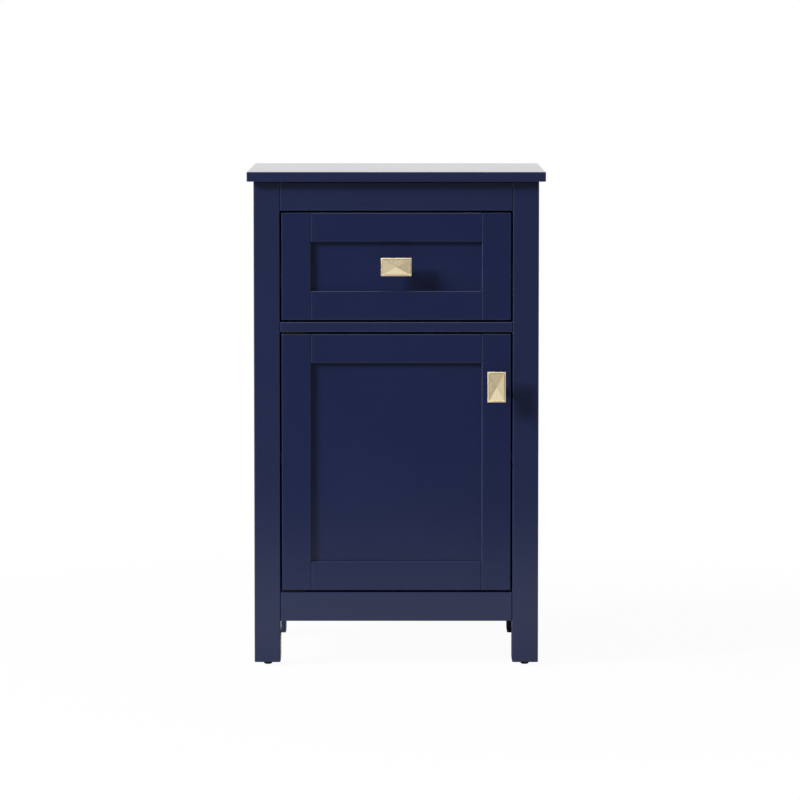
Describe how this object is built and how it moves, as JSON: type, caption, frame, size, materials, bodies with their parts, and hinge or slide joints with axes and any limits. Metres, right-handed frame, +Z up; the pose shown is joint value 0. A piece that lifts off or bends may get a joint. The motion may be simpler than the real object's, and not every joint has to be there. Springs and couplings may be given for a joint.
{
  "type": "bathroom vanity cabinet",
  "caption": "Freestanding narrow bathroom cabinet on straight legs, with an inset drawer above an inset recessed-panel door, an overhanging flat top and rectangular pyramid knobs.",
  "frame": {"origin": "on the floor, under the middle of the whole object's box, knobs included", "axes": "+Z up; the door and drawer face -Y; +X is to the right seen from the front"},
  "size_m": [0.457, 0.423, 0.762],
  "materials": {
    "navy_paint": "satin navy lacquer over wood and fibreboard",
    "birch": "clear-finished birch and birch plywood",
    "brushed_brass": "satin brushed champagne brass",
    "zinc_steel": "zinc-plated steel",
    "bronze_steel": "dark bronze coated steel",
    "black_plastic": "black moulded plastic"
  },
  "bodies": {
    "cabinet": {"top_panel": "navy_paint", "front_left_leg": "navy_paint", "front_right_leg": "navy_paint", "rear_left_leg": "navy_paint", "rear_right_leg": "navy_paint", "front_top_rail": "navy_paint", "front_middle_rail": "navy_paint", "front_bottom_rail": "navy_paint", "left_upper_side_rail": "navy_paint", "left_lower_side_rail": "navy_paint", "right_upper_side_rail": "navy_paint", "right_lower_side_rail": "navy_paint", "left_side_panel": "navy_paint", "right_side_panel": "navy_paint", "rear_upper_rail": "navy_paint", "rear_lower_rail": "navy_paint", "back_panel": "birch", "bottom_panel": "birch", "left_slide_cleat": "birch", "right_slide_cleat": "birch", "shelf": "birch", "shelf_pins": "zinc_steel", "corner_blocks": "birch", "foot_glides": "black_plastic", "cabinet_screws": "zinc_steel", "left_slide_cabinet_member": "zinc_steel", "right_slide_cabinet_member": "zinc_steel", "upper_hinge_frame_leaf": "bronze_steel", "lower_hinge_frame_leaf": "bronze_steel", "hinge_pins": "bronze_steel", "magnetic_catch": "black_plastic"},
    "slide_middle": {"left_slide_middle_member": "zinc_steel", "right_slide_middle_member": "zinc_steel"},
    "door": {"door_left_stile": "navy_paint", "door_right_stile": "navy_paint", "door_top_rail": "navy_paint", "door_bottom_rail": "navy_paint", "door_panel": "navy_paint", "door_knob": "brushed_brass", "door_knob_screw": "zinc_steel", "upper_hinge_door_leaf": "bronze_steel", "lower_hinge_door_leaf": "bronze_steel", "catch_plate": "zinc_steel", "door_screws": "zinc_steel"},
    "drawer": {"drawer_front_left_stile": "navy_paint", "drawer_front_right_stile": "navy_paint", "drawer_front_top_rail": "navy_paint", "drawer_front_bottom_rail": "navy_paint", "drawer_front_panel": "navy_paint", "drawer_left_side": "birch", "drawer_right_side": "birch", "drawer_box_front": "birch", "drawer_box_back": "birch", "drawer_bottom": "birch", "drawer_knob": "brushed_brass", "drawer_knob_screw": "zinc_steel", "left_slide_drawer_member": "zinc_steel", "right_slide_drawer_member": "zinc_steel", "drawer_screws": "zinc_steel"}
  },
  "joints": [
    {"name": "door_swing", "type": "hinge", "parent": "cabinet", "child": "door", "pos_m": [-0.172, -0.1785, 0.3155], "axis": [0, 0, -1], "range_deg": [0, 105]},
    {"name": "drawer_slide", "type": "slide", "parent": "cabinet", "child": "drawer", "axis": [0, -1, 0], "range_m": [0, 0.33]},
    {"name": "slide_middle_travel", "type": "slide", "parent": "cabinet", "child": "slide_middle", "axis": [0, -1, 0], "range_m": [0, 0.165]}
  ],
  "couplings": [
    {"joint": "slide_middle_travel", "follows": "drawer_slide", "ratio": 0.5}
  ]
}
